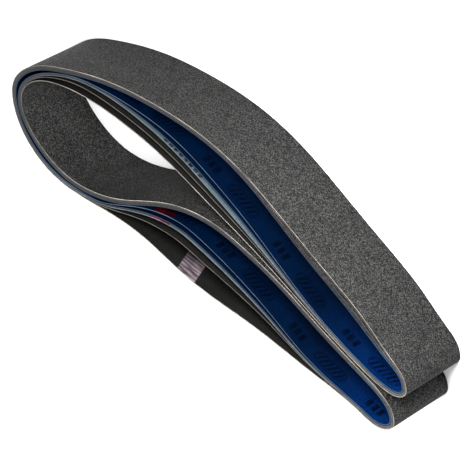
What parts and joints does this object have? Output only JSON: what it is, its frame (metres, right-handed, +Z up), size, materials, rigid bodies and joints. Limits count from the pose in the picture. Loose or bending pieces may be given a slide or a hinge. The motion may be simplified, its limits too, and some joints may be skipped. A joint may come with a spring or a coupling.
{
  "type": "grinding belt set",
  "caption": "Set of endless cloth-backed grinding belts for a belt grinder, nested in one another and folded once into a C for storage",
  "frame": {"origin": "middle of the set's bounding box, on the surface that its lower cut edges stand on", "axes": "+X along the set from the two fold tips to the wide double bend, +Z up across the width of the belts, +Y from the outer upper strand to the outer lower strand"},
  "size_m": [0.4656, 0.1432, 0.075],
  "materials": {
    "abrasive_black": "coarse mineral grain in dark resin, matt with fine glints",
    "cloth_charcoal": "resin-filled woven cloth, satin",
    "cloth_slate": "resin-filled woven cloth, satin",
    "cloth_navy": "resin-filled woven cloth, satin",
    "tape_lilac": "fibre-reinforced film, satin",
    "tape_pink": "fibre-reinforced film, satin",
    "tape_maroon": "fibre-reinforced film, satin"
  },
  "bodies": {
    "belt_1": {"belt_1_cloth_backing": "cloth_charcoal", "belt_1_abrasive_coat": "abrasive_black", "belt_1_splice_tape": "tape_lilac"},
    "belt_2": {"belt_2_cloth_backing": "cloth_charcoal", "belt_2_abrasive_coat": "abrasive_black", "belt_2_splice_tape": "tape_lilac"},
    "belt_3": {"belt_3_cloth_backing": "cloth_slate", "belt_3_abrasive_coat": "abrasive_black", "belt_3_splice_tape": "tape_pink"},
    "belt_4": {"belt_4_cloth_backing": "cloth_navy", "belt_4_abrasive_coat": "abrasive_black", "belt_4_splice_tape": "tape_maroon"},
    "belt_5": {"belt_5_cloth_backing": "cloth_navy", "belt_5_abrasive_coat": "abrasive_black", "belt_5_splice_tape": "tape_maroon"}
  },
  "joints": [
    {"name": "belt_2_lift_out", "type": "slide", "parent": "belt_1", "child": "belt_2", "axis": [0, 0, 1], "range_m": [0, 0.085]},
    {"name": "belt_3_lift_out", "type": "slide", "parent": "belt_1", "child": "belt_3", "axis": [0, 0, 1], "range_m": [0, 0.085]},
    {"name": "belt_4_lift_out", "type": "slide", "parent": "belt_1", "child": "belt_4", "axis": [0, 0, 1], "range_m": [0, 0.085]},
    {"name": "belt_5_lift_out", "type": "slide", "parent": "belt_1", "child": "belt_5", "axis": [0, 0, 1], "range_m": [0, 0.085]}
  ]
}
